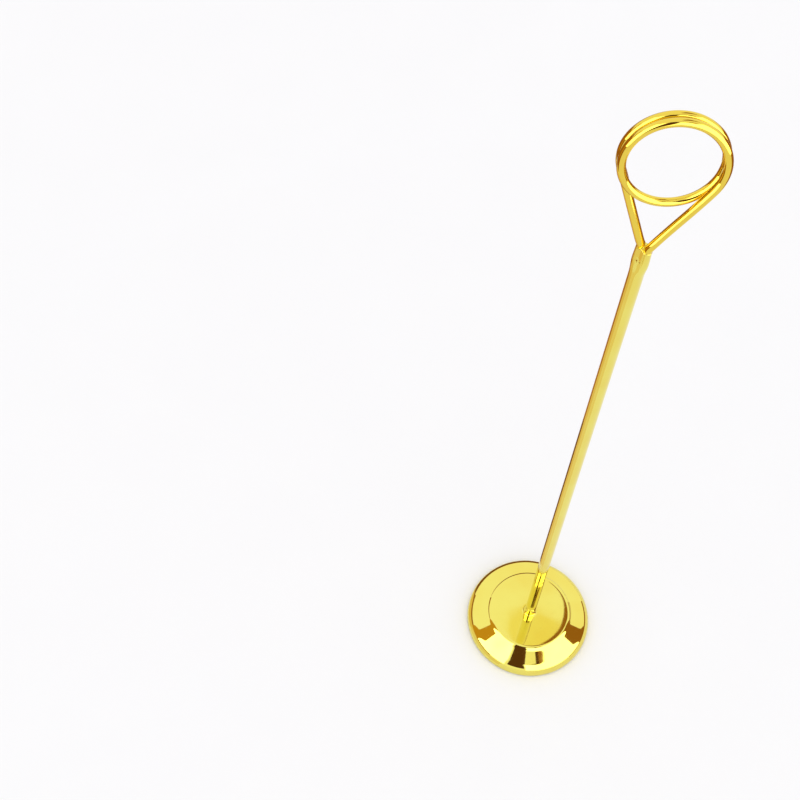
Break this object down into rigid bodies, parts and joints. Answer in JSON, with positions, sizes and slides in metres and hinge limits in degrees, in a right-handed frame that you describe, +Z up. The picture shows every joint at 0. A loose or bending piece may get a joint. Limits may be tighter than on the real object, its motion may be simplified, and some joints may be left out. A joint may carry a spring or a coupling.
{
  "type": "table number holder",
  "caption": "Tall card holder: weighted round base with a sloping flange, slim tubular stem and a coiled wire clip that grips a card between its turns.",
  "frame": {"origin": "on the table, at the middle of the pad's underside, below the stem's axis", "axes": "+Z up along the stem; the clip's front, where the card faces the guests, looks along -Y; +X is to the right seen from the front"},
  "size_m": [0.06, 0.06, 0.3669],
  "materials": {
    "gold_base": "polished, gold plated",
    "gold_stem": "polished, gold plated",
    "gold_wire": "polished, gold plated, faint drawing lines",
    "cast_weight": "rough cast",
    "foam_pad": "fine closed-cell foam",
    "zinc_steel": "zinc plated",
    "turned_plug": "turned"
  },
  "bodies": {
    "base": {"base_shell": "gold_base", "base_weight": "cast_weight", "base_pad": "foam_pad", "stem_screw": "zinc_steel", "spring_washer": "zinc_steel", "flat_washer": "zinc_steel", "foot_collar": "gold_stem"},
    "stem": {"stem_insert": "turned_plug", "stem_tube": "gold_stem", "clip_wire": "gold_wire"}
  },
  "joints": [
    {"name": "stem_turn", "type": "hinge", "parent": "base", "child": "stem", "pos_m": [0, 0, 0.0111], "axis": [0, 0, 1], "range_deg": [-180, 180]}
  ]
}
